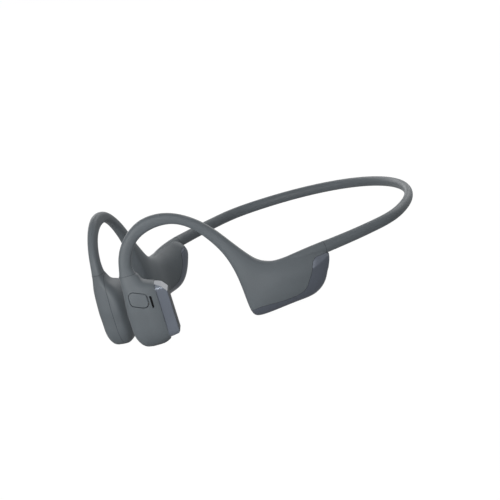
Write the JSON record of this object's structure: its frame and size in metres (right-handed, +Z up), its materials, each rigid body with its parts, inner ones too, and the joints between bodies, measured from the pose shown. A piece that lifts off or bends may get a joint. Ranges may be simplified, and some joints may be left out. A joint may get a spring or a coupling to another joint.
{
  "type": "bone conduction headphones",
  "caption": "Behind-the-neck bone conduction headphones: a sprung band joins two pods, and ear hooks carry transducer units that rest on the cheekbones.",
  "frame": {"origin": "under the middle of the headphones, on the surface that they stand on", "axes": "+Y towards the back of the wearer's head, +X towards the wearer's left, +Z up"},
  "size_m": [0.1062, 0.1314, 0.0473],
  "materials": {
    "soft_silicone": "matte soft-touch silicone, slate grey",
    "gloss_shell": "glossy metallic lacquer, slate with a violet cast",
    "button_silicone": "matte soft-touch silicone, slate grey",
    "spring_wire": "bright nickel titanium wire",
    "steel": "plain steel",
    "magnet_steel": "nickel plated",
    "copper": "enamelled copper winding",
    "cable_jacket": "black jacket",
    "cell_foil": "laminated foil",
    "circuit_board": "green solder mask",
    "flex_circuit": "amber polyimide film",
    "chip_black": "black epoxy",
    "foam": "black foam",
    "port_metal": "drawn steel shell",
    "light_guide_clear": "clear moulded plastic",
    "driver_plastic": "black glass-filled plastic",
    "diaphragm_film": "thin polymer film"
  },
  "bodies": {
    "headphones": {"neckband_sleeve": "soft_silicone", "neckband_wire": "spring_wire", "neckband_cable": "cable_jacket", "hook_wire_left": "spring_wire", "hook_wire_right": "spring_wire", "hook_cable_left": "cable_jacket", "hook_cable_right": "cable_jacket", "wire_anchor_left": "steel", "wire_anchor_right": "steel", "hook_shell_left": "soft_silicone", "pod_cover_left": "gloss_shell", "battery_cell": "cell_foil", "battery_protection_board": "circuit_board", "battery_foam": "foam", "hook_shell_right": "soft_silicone", "pod_cover_right": "gloss_shell", "main_board": "circuit_board", "board_chips": "chip_black", "board_screws": "steel", "volume_switches": "chip_black", "usb_c_port": "port_metal", "light_guide": "light_guide_clear", "transducer_shell_left": "soft_silicone", "transducer_shell_right": "soft_silicone", "cheek_pad_left": "soft_silicone", "cheek_pad_right": "soft_silicone", "bone_driver_frame_left": "driver_plastic", "bone_driver_frame_right": "driver_plastic", "bone_driver_coil_left": "copper", "bone_driver_coil_right": "copper", "transducer_flex_left": "flex_circuit", "transducer_flex_right": "flex_circuit", "microphone_left": "port_metal", "microphone_right": "port_metal", "microphone_mesh_left": "steel", "microphone_mesh_right": "steel", "speaker_box_left": "gloss_shell", "speaker_box_right": "gloss_shell", "air_driver_basket_left": "driver_plastic", "air_driver_basket_right": "driver_plastic", "speaker_grille_left": "steel", "speaker_grille_right": "steel", "call_button_switch": "chip_black"},
    "call_button_body": {"call_button": "button_silicone"},
    "volume_up_body": {"volume_up_button": "button_silicone"},
    "volume_down_body": {"volume_down_button": "button_silicone"},
    "bone_mass_left": {"bone_driver_magnet_left": "magnet_steel", "bone_driver_spring_left": "steel"},
    "bone_mass_right": {"bone_driver_magnet_right": "magnet_steel", "bone_driver_spring_right": "steel"},
    "air_diaphragm_left": {"air_driver_diaphragm_left": "diaphragm_film"},
    "air_diaphragm_right": {"air_driver_diaphragm_right": "diaphragm_film"}
  },
  "joints": [
    {"name": "call_button_press", "type": "slide", "parent": "headphones", "child": "call_button_body", "axis": [-0.8, 0.6, 0], "range_m": [0, 0.00025], "stiffness_N_per_m": 2000},
    {"name": "volume_up_press", "type": "slide", "parent": "headphones", "child": "volume_up_body", "axis": [0.0365, -0.0541, 0.9979], "range_m": [0, 0.00025], "stiffness_N_per_m": 1500},
    {"name": "volume_down_press", "type": "slide", "parent": "headphones", "child": "volume_down_body", "axis": [0.0321, -0.0568, 0.9979], "range_m": [0, 0.00025], "stiffness_N_per_m": 1500},
    {"name": "bone_driver_left_vibration", "type": "slide", "parent": "headphones", "child": "bone_mass_left", "axis": [0.8, -0.6, 0], "range_m": [-0.00015, 0.00015], "stiffness_N_per_m": 1500},
    {"name": "bone_driver_right_vibration", "type": "slide", "parent": "headphones", "child": "bone_mass_right", "axis": [-0.8, -0.6, 0], "range_m": [-0.00015, 0.00015], "stiffness_N_per_m": 1500},
    {"name": "air_driver_left_vibration", "type": "slide", "parent": "headphones", "child": "air_diaphragm_left", "axis": [0.6, 0.8, 0], "range_m": [-0.0002, 0.0002], "stiffness_N_per_m": 200},
    {"name": "air_driver_right_vibration", "type": "slide", "parent": "headphones", "child": "air_diaphragm_right", "axis": [-0.6, 0.8, 0], "range_m": [-0.0002, 0.0002], "stiffness_N_per_m": 200}
  ]
}
